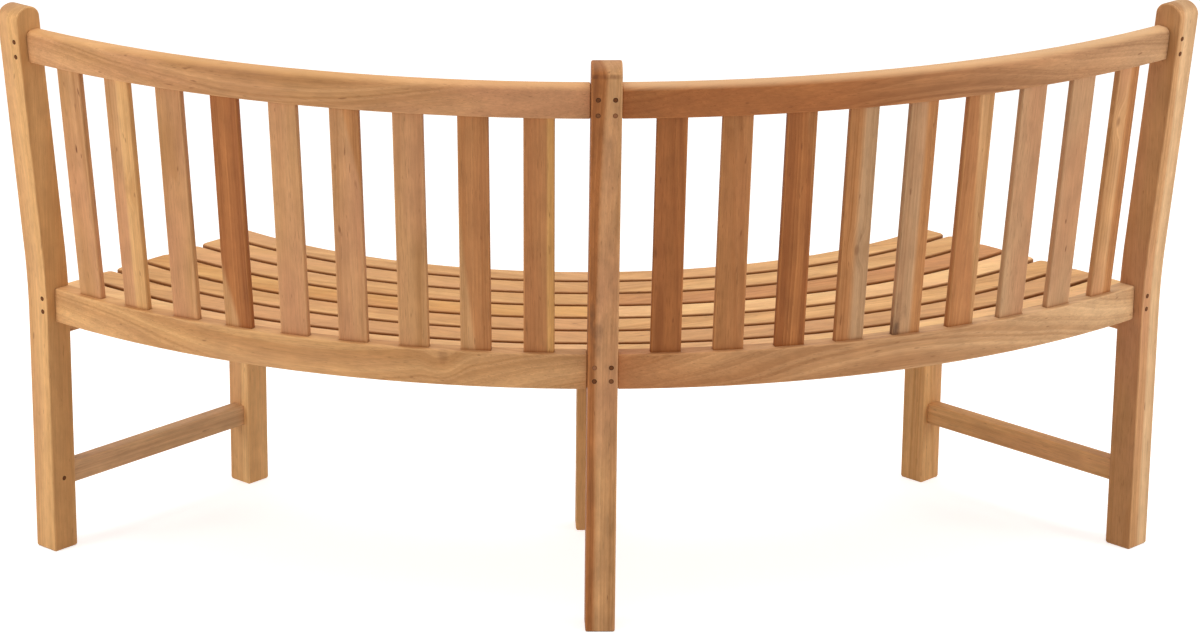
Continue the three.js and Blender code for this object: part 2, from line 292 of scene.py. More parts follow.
# Joint, Rim, Crease and the two Side inputs place painted shade; the top inputs, painted light.
GRAIN_INPUTS = {
    "Vector": "Plank, Heart, Tilt, Seed, Along, Across, Knot, Stain, Circle",
    "Float": (
        "Knot Core, Stain Share, Border, Border Lean, Border Blur, Change Starts, Change Ends, "
        "Figure, Specks, Mottle, Joint, Rim, Crease, Worn Top, Worn Share, Plus Side, Minus Side"
    ),
    "Color": "Pale, Deep, Blush, Other Pale, Other Deep, Worn Tone",
}
GRAIN_OUTPUTS = {"Color": "Color", "Float": "Roughness, Height"}
for way, sockets in (("INPUT", GRAIN_INPUTS), ("OUTPUT", GRAIN_OUTPUTS)):
    for kind, names in sockets.items():
        for name in names.split(", "):
            grain.interface.new_socket(name=name, in_out=way, socket_type="NodeSocket" + kind)
takes = grain.nodes.new("NodeGroupInput").outputs
gives = grain.nodes.new("NodeGroupOutput").inputs
print("Inputs of the grain:", GRAIN_INPUTS)

# %% [markdown]
# ## Six uneven patterns
# All that is uneven in a plank comes from six noises. Each starts at the plank's own seed and is
# squeezed along the grain, so that what it draws is longer than it is wide. The warp bends the
# rings, 70 mm across and half a metre along. The drift carries the blush. The mottle is the cloudy
# unevenness of oil and handling. Fibres run for centimetres and are far finer than a millimetre.
# They are drawn 2.5 mm across, as coarse as they have to be to show from the camera, six metres
# away. The pores, about a millimetre across and 20 mm long, are coarser than life too. The specks
# are minerals.

# %% Make the six patterns
# Each has its squeeze along the grain, its number to a metre across it, its detail and roughness.
PATTERNS = {
    "warp": (0.14, 14, 2, 0.4),
    "fibres": (0.03, 1 / (2.5 * MM), 3, 0.6),
    "pores": (0.05, 1 / (1.1 * MM), 1, 0.5),
    "drift": (0.3, 11, 2, 0.5),
    "mottle": (0.45, 1 / (22 * MM), 4, 0.6),
    "specks": (0.22, 1 / (6 * MM), 1, 0.5),
}
patterns = {}
for name, (squeeze, per_metre, detail, roughness) in PATTERNS.items():
    space = add_node(
        grain,
        "ShaderNodeVectorMath",
        {"operation": "MULTIPLY_ADD"},
        [takes["Plank"], (squeeze, 1, 1), takes["Seed"]],
    ).outputs[0]
    patterns[name] = add_node(
        grain,
        "ShaderNodeTexNoise",
        inputs={"Vector": space, "Scale": per_metre, "Detail": detail, "Roughness": roughness},
    ).outputs["Fac"]
print("Patterns:", ", ".join(patterns))

# %% Distance from the heart of the log
# The heart leans a little against the plank, so rings run out of its faces. The warp moves a ring
# by up to a centimetre.
WARP = 22 * MM
from_heart = add_node(
    grain,
    "ShaderNodeMapping",
    {"vector_type": "TEXTURE"},
    {"Vector": takes["Plank"], "Location": takes["Heart"], "Rotation": takes["Tilt"]},
).outputs[0]
across_grain = add_node(
    grain, "ShaderNodeVectorMath", {"operation": "MULTIPLY"}, [from_heart, (0, 1, 1)]
).outputs[0]
straight_radius = add_node(
    grain, "ShaderNodeVectorMath", {"operation": "LENGTH"}, [across_grain]
).outputs["Value"]
warped_radius = add_node(
    grain,
    "ShaderNodeMath",
    {"operation": "MULTIPLY_ADD"},
    [patterns["warp"], WARP, straight_radius],
).outputs[0]
print("Nodes:", len(grain.nodes))

# %% Distances from a knot, from a stain and from the middle of the bench's circle
# A knot and a stain reach further along the grain than across it. The distance from the circle is
# level.
PLACES = {"Knot": (0.5, 1, 0.3), "Stain": (0.3, 1, 0.3), "Circle": (1, 1, 0)}
distances = {}
for name, squeeze in PLACES.items():
    away = add_node(
        grain, "ShaderNodeVectorMath", {"operation": "SUBTRACT"}, [takes["Plank"], takes[name]]
    ).outputs[0]
    squeezed = add_node(
        grain, "ShaderNodeVectorMath", {"operation": "MULTIPLY"}, [away, squeeze]
    ).outputs[0]
    distances[name] = add_node(
        grain, "ShaderNodeVectorMath", {"operation": "LENGTH"}, [squeezed]
    ).outputs["Value"]
print("Distances:", ", ".join(distances))

# %% [markdown]
# ## Knots
# A branch leaves a knot: a dark round spot with rings that bend round it. The group takes the
# place of one knot, and how dark its core is, because a cut beside the branch shows the bent rings
# alone. Planks without a knot are given a place far outside them.

# %% Rings bend round a knot
KNOT_REACH = 26 * MM
KNOT_PULL = 11 * MM
KNOT_CORE, KNOT_SKIN = 1.6 * MM, 6 * MM
knot_pull = add_node(
    grain,
    "ShaderNodeMapRange",
    {"interpolation_type": "SMOOTHERSTEP"},
    [distances["Knot"], 0, KNOT_REACH, KNOT_PULL, 0],
).outputs[0]
knot_dark = add_node(
    grain,
    "ShaderNodeMapRange",
    SMOOTH,
    [distances["Knot"], KNOT_CORE, KNOT_SKIN, takes["Knot Core"], 0],
).outputs[0]
radius = add_node(
    grain, "ShaderNodeMath", {"operation": "ADD"}, [warped_radius, knot_pull]
).outputs[0]
print("Nodes:", len(grain.nodes))

# %% [markdown]
# ## Rings
# A good year makes a wide ring and a dry one a narrow ring, so a slow noise along the radius
# stretches them. The remainder of the radius, counted in rings, climbs from 0 to 1 in each ring.
# The dark line is where it is nearly 1. It fades in slowly and ends at once, as the real one does.

# %% Growth rings and the broad bands that keep to them
RING = 6.5 * MM
RING_DRIFT = 16 * MM
DRIFTS_PER_METRE = 55
BANDS_PER_METRE = 42
ring_drift = add_node(
    grain,
    "ShaderNodeTexNoise",
    {"noise_dimensions": "1D"},
    {"W": radius, "Scale": DRIFTS_PER_METRE, "Detail": 2, "Roughness": 0.6},
).outputs["Fac"]
ring_radius = add_node(
    grain, "ShaderNodeMath", {"operation": "MULTIPLY_ADD"}, [ring_drift, RING_DRIFT, radius]
).outputs[0]
ring_count = add_node(
    grain, "ShaderNodeMath", {"operation": "DIVIDE"}, [ring_radius, RING]
).outputs[0]
ring_share = add_node(grain, "ShaderNodeMath", {"operation": "FRACT"}, [ring_count]).outputs[0]
late_rise = add_node(grain, "ShaderNodeMapRange", SMOOTH, [ring_share, 0.35, 0.9, 0, 1]).outputs[0]
late_end = add_node(grain, "ShaderNodeMapRange", inputs=[ring_share, 0.93, 1, 1, 0]).outputs[0]
late = add_node(
    grain, "ShaderNodeMath", {"operation": "MULTIPLY"}, [late_rise, late_end]
).outputs[0]
bands = add_node(
    grain,
    "ShaderNodeTexNoise",
    {"noise_dimensions": "1D"},
    {"W": ring_radius, "Scale": BANDS_PER_METRE, "Detail": 3, "Roughness": 0.55},
).outputs["Fac"]
print("Width of a ring in millimetres:", RING / MM)

# %% Pores
# They are short dark dashes, the peaks of their noise, and there are more of them in the pale part
# of a ring.
pore_dash = add_node(
    grain, "ShaderNodeMapRange", inputs=[patterns["pores"], 0.58, 0.7, 0, 1]
).outputs[0]
early = add_node(grain, "ShaderNodeMapRange", inputs=[ring_share, 0.1, 0.6, 1, 0.25]).outputs[0]
pores = add_node(grain, "ShaderNodeMath", {"operation": "MULTIPLY"}, [pore_dash, early]).outputs[0]
print("Nodes:", len(grain.nodes))

# %% [markdown]
# ## Heartwood and sapwood
# The outer wood of a log is paler than its heart, and a plank that is cut across the border shows
# both. The border is a distance from the heart, as a ring is, but it may climb through the rings
# as it goes along the plank. Some planks change lengthwise too, where the tree leaned or stood in
# another soil.

# %% Where the other pair of tones begins
BORDER_WARP = 9 * MM
plank_place = add_node(grain, "ShaderNodeSeparateXYZ", inputs=[takes["Plank"]]).outputs
plank_length = plank_place["X"]
bent_border = add_node(
    grain,
    "ShaderNodeMath",
    {"operation": "MULTIPLY_ADD"},
    [patterns["warp"], BORDER_WARP, straight_radius],
).outputs[0]
border_radius = add_node(
    grain,
    "ShaderNodeMath",
    {"operation": "MULTIPLY_ADD"},
    [plank_length, takes["Border Lean"], bent_border],
).outputs[0]
border_end = add_node(
    grain, "ShaderNodeMath", {"operation": "ADD"}, [takes["Border"], takes["Border Blur"]]
).outputs[0]
beyond_border = add_node(
    grain, "ShaderNodeMapRange", SMOOTH, [border_radius, takes["Border"], border_end, 0, 1]
).outputs[0]
changed = add_node(
    grain,
    "ShaderNodeMapRange",
    inputs=[plank_length, takes["Change Starts"], takes["Change Ends"], 0, 1],
).outputs[0]
other_share = add_node(
    grain, "ShaderNodeMath", {"operation": "MAXIMUM"}, [beyond_border, changed]
).outputs[0]
pale_here, deep_here = (
    add_node(
        grain,
        "ShaderNodeMix",
        COLOURS,
        {0: other_share, 6: takes[tone], 7: takes["Other " + tone]},
    ).outputs[2]
    for tone in ("Pale", "Deep")
)
print("Nodes:", len(grain.nodes))

# %% [markdown]
# ## Tones
# The deep tone comes in with the dark line of each ring and with the broad bands. The blush is a
# third tone that drifts through the plank by the hand's breadth, whatever the rings do. A pattern
# in only two tones looks printed; it is this drift that makes a plank look grown.

# %% Mix the tones of a plank
LINE_SHARE = 0.24
BLUSH_SHARE = 0.8
band_share = add_node(grain, "ShaderNodeMapRange", inputs=[bands, 0.34, 0.68, 0, 1]).outputs[0]
line_share = add_node(
    grain, "ShaderNodeMath", {"operation": "MULTIPLY"}, [late, LINE_SHARE]
).outputs[0]
tone_sum = add_node(
    grain, "ShaderNodeMath", {"operation": "ADD"}, [band_share, line_share]
).outputs[0]
tone_share = add_node(
    grain,
    "ShaderNodeMath",
    {"operation": "MULTIPLY", "use_clamp": True},
    [tone_sum, takes["Figure"]],
).outputs[0]
ringed = add_node(
    grain, "ShaderNodeMix", COLOURS, {0: tone_share, 6: pale_here, 7: deep_here}
).outputs[2]
blush_here = add_node(
    grain, "ShaderNodeMapRange", inputs=[patterns["drift"], 0.42, 0.68, 0, BLUSH_SHARE]
).outputs[0]
not_other = add_node(
    grain, "ShaderNodeMath", {"operation": "SUBTRACT"}, [1, other_share]
).outputs[0]
blush_share = add_node(
    grain, "ShaderNodeMath", {"operation": "MULTIPLY"}, [blush_here, not_other]
).outputs[0]
blushed = add_node(
    grain, "ShaderNodeMix", COLOURS, {0: blush_share, 6: ringed, 7: takes["Blush"]}
).outputs[2]
print("Nodes:", len(grain.nodes))

# %% [markdown]
# ## Darker where it soaks, and painted shade
# A fibre is up to a tenth darker or lighter than the tone, a pore is a quarter darker, and the
# mottle adds its clouds. End grain soaks up oil and dirt, so the colour turns a dull brown where a
# face looks along the grain. The sawn sides of the seat boards get painted shade, so that the gaps
# look dark, and the painted shade reaches a few millimetres onto the top of the board beside the
# gap. The inner sides of the end posts get a little painted shade too. The joint at the foot of a
# slat gets painted shade and some dust.

# %% Fibres, pores and mottle
fibre_shade = add_node(
    grain, "ShaderNodeMapRange", inputs=[patterns["fibres"], 0.25, 0.75, 0.89, 1.1]
).outputs[0]
pore_shade = add_node(grain, "ShaderNodeMapRange", inputs=[pores, 0, 1, 1, 0.74]).outputs[0]
fine_shade = add_node(
    grain, "ShaderNodeMath", {"operation": "MULTIPLY"}, [fibre_shade, pore_shade]
).outputs[0]
uneven = add_node(
    grain, "ShaderNodeMapRange", inputs=[patterns["mottle"], 0.3, 0.7, -0.3, 0.16]
).outputs[0]
mottle_shade = add_node(
    grain, "ShaderNodeMath", {"operation": "MULTIPLY_ADD"}, [uneven, takes["Mottle"], 1]
).outputs[0]
all_shade = add_node(
    grain, "ShaderNodeMath", {"operation": "MULTIPLY"}, [fine_shade, mottle_shade]
).outputs[0]
shaded = add_node(
    grain, "ShaderNodeVectorMath", {"operation": "SCALE"}, {0: blushed, "Scale": all_shade}
).outputs[0]
print("Nodes:", len(grain.nodes))

# %% End grain
END_GRAIN_SHARE = 0.42
facing = add_node(grain, "ShaderNodeTexCoord").outputs["Normal"]
facing_along, facing_across = (
    add_node(
        grain, "ShaderNodeVectorMath", {"operation": "DOT_PRODUCT"}, [facing, takes[axis]]
    ).outputs["Value"]
    for axis in ("Along", "Across")
)
facing_size = add_node(
    grain, "ShaderNodeMath", {"operation": "ABSOLUTE"}, [facing_along]
).outputs[0]
end_share = add_node(
    grain, "ShaderNodeMapRange", SMOOTH, [facing_size, 0.35, 0.9, 0, END_GRAIN_SHARE]
).outputs[0]
print("Nodes:", len(grain.nodes))

# %% Painted shade on the sides and on the rim of a gap, painted shade and dust in the foot joint
JOINT_HEIGHT, JOINT_SHARE = 5 * MM, 0.5
RIM_FULL, RIM_END, RIM_SHARE = 2 * MM, 4 * MM, 0.75
plus_side, minus_side = (
    add_node(
        grain, "ShaderNodeMapRange", SMOOTH, [facing_across, 0.3 * way, 0.75 * way, 0, takes[side]]
    ).outputs[0]
    for side, way in (("Plus Side", 1), ("Minus Side", -1))
)
above_joint = add_node(
    grain, "ShaderNodeMath", {"operation": "SUBTRACT"}, [plank_length, takes["Joint"]]
).outputs[0]
joint_share = add_node(
    grain, "ShaderNodeMapRange", inputs=[above_joint, 0, JOINT_HEIGHT, JOINT_SHARE, 0]
).outputs[0]
inside_rim = add_node(
    grain, "ShaderNodeMath", {"operation": "SUBTRACT"}, [takes["Rim"], distances["Circle"]]
).outputs[0]
rim_share = add_node(
    grain, "ShaderNodeMapRange", inputs=[inside_rim, RIM_FULL, RIM_END, RIM_SHARE, 0]
).outputs[0]
# Painted shade on the sides and on the rim, and painted shade with some dust at the joint
shade_and_dust_share = plus_side
for share in (minus_side, joint_share, rim_share):
    shade_and_dust_share = add_node(
        grain, "ShaderNodeMath", {"operation": "MAXIMUM"}, [shade_and_dust_share, share]
    ).outputs[0]
print("Nodes:", len(grain.nodes))

# %% [markdown]
# ## Marks, and painted shade in a crease
# Minerals leave short dark specks along the grain, about 2 mm wide and 10 mm long. Iron or damp
# leaves a dark stain, whose edge is ragged because it creeps along the fibres. Where the crown of
# a post begins, a line of painted shade runs across it. Specks, the painted shade of the crease
# and the core of a knot are all the brown of strong coffee.

# %% Specks, the core of a knot, and painted shade in a crease
CREASE_LINE, CREASE_EDGE, CREASE_SHARE = 1 * MM, 5 * MM, 0.75
speck = add_node(
    grain, "ShaderNodeMapRange", inputs=[patterns["specks"], 0.72, 0.8, 0, takes["Specks"]]
).outputs[0]
to_crease = add_node(
    grain, "ShaderNodeMath", {"operation": "SUBTRACT"}, [plank_length, takes["Crease"]]
).outputs[0]
from_crease = add_node(grain, "ShaderNodeMath", {"operation": "ABSOLUTE"}, [to_crease]).outputs[0]
# The line across the crown is painted shade, broken up by the mottle.
crease_line = add_node(
    grain, "ShaderNodeMapRange", SMOOTH, [from_crease, CREASE_LINE, CREASE_EDGE, CREASE_SHARE, 0]
).outputs[0]
crease_shade_breakup = add_node(
    grain, "ShaderNodeMapRange", inputs=[patterns["mottle"], 0.4, 0.6, 1, 0.3]
).outputs[0]
crease = add_node(
    grain, "ShaderNodeMath", {"operation": "MULTIPLY"}, [crease_line, crease_shade_breakup]
).outputs[0]
# Knot and specks are marks, the crease is painted shade.
marks_and_crease_shade_share = knot_dark
for share in (speck, crease):
    marks_and_crease_shade_share = add_node(
        grain, "ShaderNodeMath", {"operation": "MAXIMUM"}, [marks_and_crease_shade_share, share]
    ).outputs[0]
print("Nodes:", len(grain.nodes))

# %% A stain with a ragged edge
STAIN_FULL, STAIN_END, STAIN_RAGGED = 16 * MM, 36 * MM, 40 * MM
ragged = add_node(
    grain,
    "ShaderNodeMath",
    {"operation": "MULTIPLY_ADD"},
    [patterns["mottle"], STAIN_RAGGED, distances["Stain"]],
).outputs[0]
stain_share = add_node(
    grain, "ShaderNodeMapRange", SMOOTH, [ragged, STAIN_FULL, STAIN_END, takes["Stain Share"], 0]
).outputs[0]
print("Nodes:", len(grain.nodes))

# %% Eased edges, worn and with painted highlight, and painted light on the top rails
# An edge is paler, as wear and as painted highlight, only where a fibre stands up, so that its
# line is broken, and not under the painted shade and dust. The round top of a back rail gets
# painted light: a paler tone, most at its highest.
TOP_LIGHT_DEPTH = 8 * MM
on_edge = add_node(grain, "ShaderNodeAttribute", {"attribute_name": EASED}).outputs["Fac"]
fibre_wear_and_highlight = add_node(
    grain, "ShaderNodeMapRange", inputs=[patterns["fibres"], 0.35, 0.6, 0.1, 0.55]
).outputs[0]
clear_of_shade_and_dust = add_node(
    grain, "ShaderNodeMath", {"operation": "SUBTRACT"}, [1, shade_and_dust_share]
).outputs[0]
# Paler eased edges: wear and painted highlight.
edge_wear_and_highlight = add_node(
    grain, "ShaderNodeMath", {"operation": "MULTIPLY"}, [on_edge, fibre_wear_and_highlight]
).outputs[0]
edge_share = add_node(
    grain, "ShaderNodeMath", {"operation": "MULTIPLY"}, [edge_wear_and_highlight, clear_of_shade_and_dust]
).outputs[0]
# Painted light on the top of a top rail.
height_in_top_light = add_node(
    grain, "ShaderNodeMath", {"operation": "SUBTRACT"}, [plank_place["Z"], takes["Worn Top"]]
).outputs[0]
top_share = add_node(
    grain, "ShaderNodeMapRange", inputs=[height_in_top_light, 0, TOP_LIGHT_DEPTH, 0, takes["Worn Share"]]
).outputs[0]
print("Nodes:", len(grain.nodes))

# %% [markdown]
# ## Layers of colour
# Each of these things is a layer over the ones before it: the dull brown of end grain, the
# painted shade of sides and gaps with some dust in joints, the coffee brown of marks with the
# painted shade of the crease, the stain, the paler edges, worn and with painted highlight, and
# last the painted light on the top rails. One Mix node for each lays it on by the share that was
# worked out above.

# %% Lay the colours over one another
LAYERS = [
    (end_share, linear("#8A6444")),
    # painted shade on sides, rims and joints, with some dust at the joints
    (shade_and_dust_share, linear("#8A5022")),
    # marks, and the painted shade of the crease
    (marks_and_crease_shade_share, linear("#6A3A1E")),
    (stain_share, linear("#543A2A")),
    # paler edges: wear and painted highlight
    (edge_share, pale_here),
    # painted light on the tops of the top rails
    (top_share, takes["Worn Tone"]),
]
layered = shaded
for share, tone in LAYERS:
    layered = add_node(grain, "ShaderNodeMix", COLOURS, {0: share, 6: layered, 7: tone}).outputs[2]
grain.links.new(layered, gives["Color"])
print("Layers of colour:", len(LAYERS))

# %% Roughness and height of the surface
# Sanded teak has a low satin gloss from its own oil. The pores are rough and lie deeper than the
# fibres.
PORE_ROUGHNESS = 0.2
LINE_HEIGHT = 0.35
satin = add_node(
    grain, "ShaderNodeMapRange", inputs=[patterns["fibres"], 0.25, 0.75, 0.66, 0.54]
).outputs[0]
rougher = add_node(
    grain, "ShaderNodeMath", {"operation": "MULTIPLY_ADD"}, [pores, PORE_ROUGHNESS, satin]
).outputs[0]
grain.links.new(rougher, gives["Roughness"])
ridges = add_node(
    grain, "ShaderNodeMath", {"operation": "MULTIPLY_ADD"}, [late, LINE_HEIGHT, patterns["fibres"]]
).outputs[0]
relief = add_node(grain, "ShaderNodeMath", {"operation": "SUBTRACT"}, [ridges, pores]).outputs[0]
grain.links.new(relief, gives["Height"])
print("Nodes in the grain of teak:", len(grain.nodes))

# %% [markdown]
# ## Tones of teak
# Planks come from different logs and different depths in the log, and a maker doesn't match them.
# The tones below are named as a timber yard would name them. Each has a pale tone for the early
# part of a ring, a deep one for the late part, and a blush.

# %% Tones
TONES = {
    "cream": ("#F8CA8C", "#DCA66C", "#EAB482"),
    "straw": ("#E8B478", "#C69058", "#D69E6C"),
    "honey": ("#E2AE74", "#C08A56", "#D09A6A"),
    "golden": ("#E2AB68", "#C4884A", "#D09660"),
    "tan": ("#D6A16E", "#B37F4E", "#C88D64"),
    "brown": ("#CA8D58", "#A4693A", "#B8794A"),
    "russet": ("#BE7A44", "#94562A", "#A86638"),
    "grey brown": ("#CA9E74", "#A47A54", "#BC865E"),
    "bleached": ("#DEB384", "#BC8F64", "#CE9E78"),
    "amber": ("#D69A62", "#B47A46", "#C68856"),
}
print("Tones of teak:", ", ".join(TONES))

# %% [markdown]
# ## One material for each plank
# Each plank has its own material, because each has its own place in its own log. A Mapping node of
# the Texture kind brings a point of the object into the space of the plank: x along the grain, y
# across the plank and z through it. Wood is a poor mirror. Its IOR is about 1.5, but sanded fibres
# scatter most of the gloss, so the specular level is kept low, and a bump of a tenth of a
# millimetre breaks up what is left.
#
# A mark that a plank doesn't have is given a place or a height far outside it.

# %% A material for a plank
FAR_AWAY = 9
SEED_SPAN = 5


def wood_surface(tree, colour, roughness, height, strength, depth):
    """Ends the tree of a wood with a bump of some depth and the low gloss of sanded fibres."""
    relief = add_node(
        tree, "ShaderNodeBump", inputs={"Strength": strength, "Distance": depth, "Height": height}
    ).outputs[0]
    wood = add_node(
        tree,
        "ShaderNodeBsdfPrincipled",
        inputs={
            "Base Color": colour,
            "Roughness": roughness,
            "Normal": relief,
            "IOR": 1.5,
            "Specular IOR Level": 0.2,
        },
    ).outputs[0]
    add_node(tree, "ShaderNodeOutputMaterial", inputs={"Surface": wood})


def teak(name, centre, axes, tone, **cut):
    """Sanded teak. The axes point along, across and through the plank. cut holds other inputs."""
    pale, deep, blush = (linear(code) for code in TONES[tone])
    draw = random.Random(name)
    material, tree = empty_finish(f"sanded teak, {tone}, {name}")
    point = add_node(tree, "ShaderNodeTexCoord").outputs["Object"]
    plank = add_node(
        tree,
        "ShaderNodeMapping",
        {"vector_type": "TEXTURE"},
        {"Vector": point, "Location": centre, "Rotation": Matrix(axes).transposed().to_euler()},
    ).outputs[0]
    plain = {
        "Plank": plank,
        "Seed": [draw.uniform(-SEED_SPAN, SEED_SPAN) for _ in range(3)],
        "Along": axes[0],
        "Across": axes[1],
        "Knot": (0, 0, FAR_AWAY),
        "Knot Core": 0,
        "Stain": (0, 0, FAR_AWAY),
        "Stain Share": 0,
        "Pale": pale,
        "Deep": deep,
        "Blush": blush,
        "Other Pale": pale,
        "Other Deep": deep,
        "Border": FAR_AWAY,
        "Border Lean": 0,
        "Border Blur": 5 * MM,
        "Change Starts": FAR_AWAY,
        "Change Ends": FAR_AWAY + 1,
        "Figure": 1,
        "Specks": 0.5,
        "Mottle": 0.45,
        "Joint": -FAR_AWAY,
        "Rim": FAR_AWAY,
        "Crease": FAR_AWAY,
        "Worn Top": FAR_AWAY,
        "Worn Share": 0,
        "Worn Tone": pale,
    }
    pattern = add_node(tree, "ShaderNodeGroup", {"node_tree": grain}, plain | cut).outputs
    outcome = pattern["Color"], pattern["Roughness"], pattern["Height"]
    wood_surface(tree, *outcome, strength=0.6, depth=0.12 * MM)
    return material


# %% [markdown]
# ## Which way each plank lies
# Posts and legs are sawn with the grain upright. Slats follow the lean of the back. Rails and
# boards are bent in plan, but they aren't steamed: they are sawn out of a wide plank, so their
# grain runs straight from end to end of the bay and runs out of the curve near the ends. Bearers
# and stretchers point away from the middle of the circle.

# %% The axes of each kind of plank, and its place in the log
LOG_TILT = 0.022


def upright_axes(turn, lean=0.0):
    """The grain climbs, and leans outwards with the back."""
    through = outward(turn) * math.cos(lean) - UP * math.sin(lean)
    along = outward(turn) * math.sin(lean) + UP * math.cos(lean)
    return along, around(turn), through


def curved_axes(turn):
    """The grain runs level, along the chord of a bay."""
    return around(turn), outward(turn), UP


def radial_axes(turn):
    """The grain runs level, away from the middle of the circle."""
    return outward(turn), -around(turn), UP


def middle_of(node):
    """The middle of the box of a CAD node."""
    low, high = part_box(node)
    return (low + high) / 2


def from_log(node, near, far, spread):
    """The heart lies from near to far above or below the plank, and up to the spread aside."""
    draw = random.Random("log of " + node)
    depth = draw.choice((-1, 1)) * draw.uniform(near, far)
    heart = (0, draw.uniform(-spread, spread), depth)
    tilt = (0, draw.uniform(-LOG_TILT, LOG_TILT), draw.uniform(-LOG_TILT, LOG_TILT))
    return {"Heart": heart, "Tilt": tilt}


print("Middle of the centre post:", middle_of("back_post_centre"))

# %% What a plank can have: two tones, a change, a knot, a stain, painted light on its top
HEART_REACH = 110 * MM
TOP_RAIL_HEIGHT = 50 * MM


def two_toned(other, side, line, lean=0.0, blur=5):
    """A plank from the edge of the heartwood, with the other tone beyond a line.

    The line is so many millimetres across the plank, lean slants it, and blur is its width. The
    other tone is on its positive side if side is 1, and the heart of the log is opposite.
    """
    pale, deep, _ = (linear(code) for code in TONES[other])
    return {
        "Heart": (0, -side * HEART_REACH, 0),
        "Tilt": (0, 0, 0),
        "Border": HEART_REACH + side * line * MM + BORDER_WARP / 2,
        "Border Lean": lean,
        "Border Blur": blur * MM,
        "Other Pale": pale,
        "Other Deep": deep,
    }


def changing(other, starts, ends):
    """The tone changes lengthwise, between two places in metres from the middle of the plank."""
    pale, deep, _ = (linear(code) for code in TONES[other])
    return {"Other Pale": pale, "Other Deep": deep, "Change Starts": starts, "Change Ends": ends}


def knot(along, across, through, core):
    """A knot at a place on the plank, in millimetres, and how dark its core is."""
    return {"Knot": (along * MM, across * MM, through * MM), "Knot Core": core}


def stain(along, across, through, share):
    """A dark stain at a place on the plank, in millimetres, and how dark it is."""
    return {"Stain": (along * MM, across * MM, through * MM), "Stain Share": share}


# Paints light on the top of a top rail.
def worn(tone, share):
    """Painted light on the top of a top rail: a paler tone, most at its highest, by a share."""
    top_light_starts = TOP_RAIL_HEIGHT / 2 - TOP_LIGHT_DEPTH
    return {"Worn Top": top_light_starts, "Worn Share": share, "Worn Tone": linear(TONES[tone][0])}


def paint(node, axes, tone, cut):
    """Gives a sanded piece a teak of its own."""
    pieces[node].data.materials.append(teak(node, middle_of(node), axes, tone, **cut))


print("A plank with a paler edge:", sorted(two_toned("golden", -1, -9)))

# %% [markdown]
# ## The posts and legs
# They are cut from thick square stock. The left post is honey, and straw along its inner edge. The
# right one is tan, and bleached along its outer edge. The centre post is tan with a russet stripe
# along its left side, a stain above its middle and painted shade in a crease where its crown
# begins. The inner sides of the end posts get a little painted shade. Places on a plank are
# counted from its middle. On posts and slats, across is towards the bench's left end.

# %% Materials of posts, legs, bearers and stretchers
CROWN_STARTS = 432 * MM
UPRIGHTS = {
    # Minus Side on the left post and Plus Side on the right one paint shade on their inner sides.
    "back_post_left": ("honey", two_toned("straw", -1, -6) | {"Figure": 0.9, "Minus Side": 0.15}),
    "back_post_centre": (
        "tan",
        two_toned("russet", 1, 5, blur=9)
        | stain(40, 16, 4, 0.6)
        # Crease puts painted shade where the crown begins.
        | {"Crease": CROWN_STARTS, "Mottle": 0.8},
    ),
    "back_post_right": ("tan", two_toned("bleached", -1, 6) | {"Figure": 0.9, "Plus Side": 0.2}),
    "front_leg_left": ("honey", two_toned("cream", -1, -8)),
    "front_leg_centre": ("honey", {}),
    "front_leg_right": ("straw", {}),
}
RADIALS = {
    "seat_bearer_left": "tan",
    "seat_bearer_centre": "brown",
    "seat_bearer_right": "tan",
    "side_stretcher_left": "bleached",
    "side_stretcher_right": "straw",
}
for node, (tone, cut) in UPRIGHTS.items():
    turn = SIDES[node.split("_")[-1]] * BAY_ANGLE
    cut = from_log(node, near=50 * MM, far=110 * MM, spread=40 * MM) | cut
    paint(node, upright_axes(turn), tone, cut)
for node, tone in RADIALS.items():
    turn = SIDES[node.split("_")[-1]] * BAY_ANGLE
    cut = from_log(node, near=40 * MM, far=90 * MM, spread=40 * MM)
    paint(node, radial_axes(turn), tone, cut)
print("Uprights and radials:", len(UPRIGHTS) + len(RADIALS))

# %% [markdown]
# ## The slats
# Eighteen slats, counted from the centre post outwards. Their tones change from one to the next.
# Some are far browner than their neighbours, and some have the border of the heartwood running
# down their face.

# %% Materials of the slats
SLATS = {
    "left": [
        ("brown", two_toned("golden", -1, -8)),
        ("brown", two_toned("tan", 1, 14, -0.1, blur=9)),
        ("tan", {}),
        ("tan", two_toned("brown", -1, -30, 0.2, blur=9)),
        ("tan", {"Figure": 0.6}),
        ("russet", two_toned("tan", 1, 38, -0.25, blur=12) | {"Figure": 1.2}),
        ("tan", {"Figure": 1.2}),
        ("tan", two_toned("straw", -1, 2, blur=8) | knot(9, -6, 6, 0.15)),
        ("tan", {"Specks": 0.9}),
    ],
    "right": [
        ("russet", knot(-27, 21, 6, 0.6)),
        ("brown", {"Figure": 1.1}),
        ("russet", two_toned("brown", -1, -18, 0.08, blur=10) | {"Figure": 1.7}),
        ("brown", two_toned("grey brown", -1, 8, blur=14) | knot(-41, -2, 6, 0.4)),
        ("grey brown", two_toned("brown", -1, 0, blur=9) | stain(-172, 17, 6, 0.9)),
        ("brown", two_toned("tan", -1, -2, 0.06, blur=8) | {"Figure": 1.3}),
        ("grey brown", {"Figure": 0.6}),
        ("grey brown", {"Specks": 0.8, "Figure": 1.2}),
        ("tan", two_toned("brown", -1, -2) | knot(100, 12, 6, 0.5) | {"Figure": 1.35}),
    ],
}
RAIL_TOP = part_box("lower_back_rail_left")[1].z
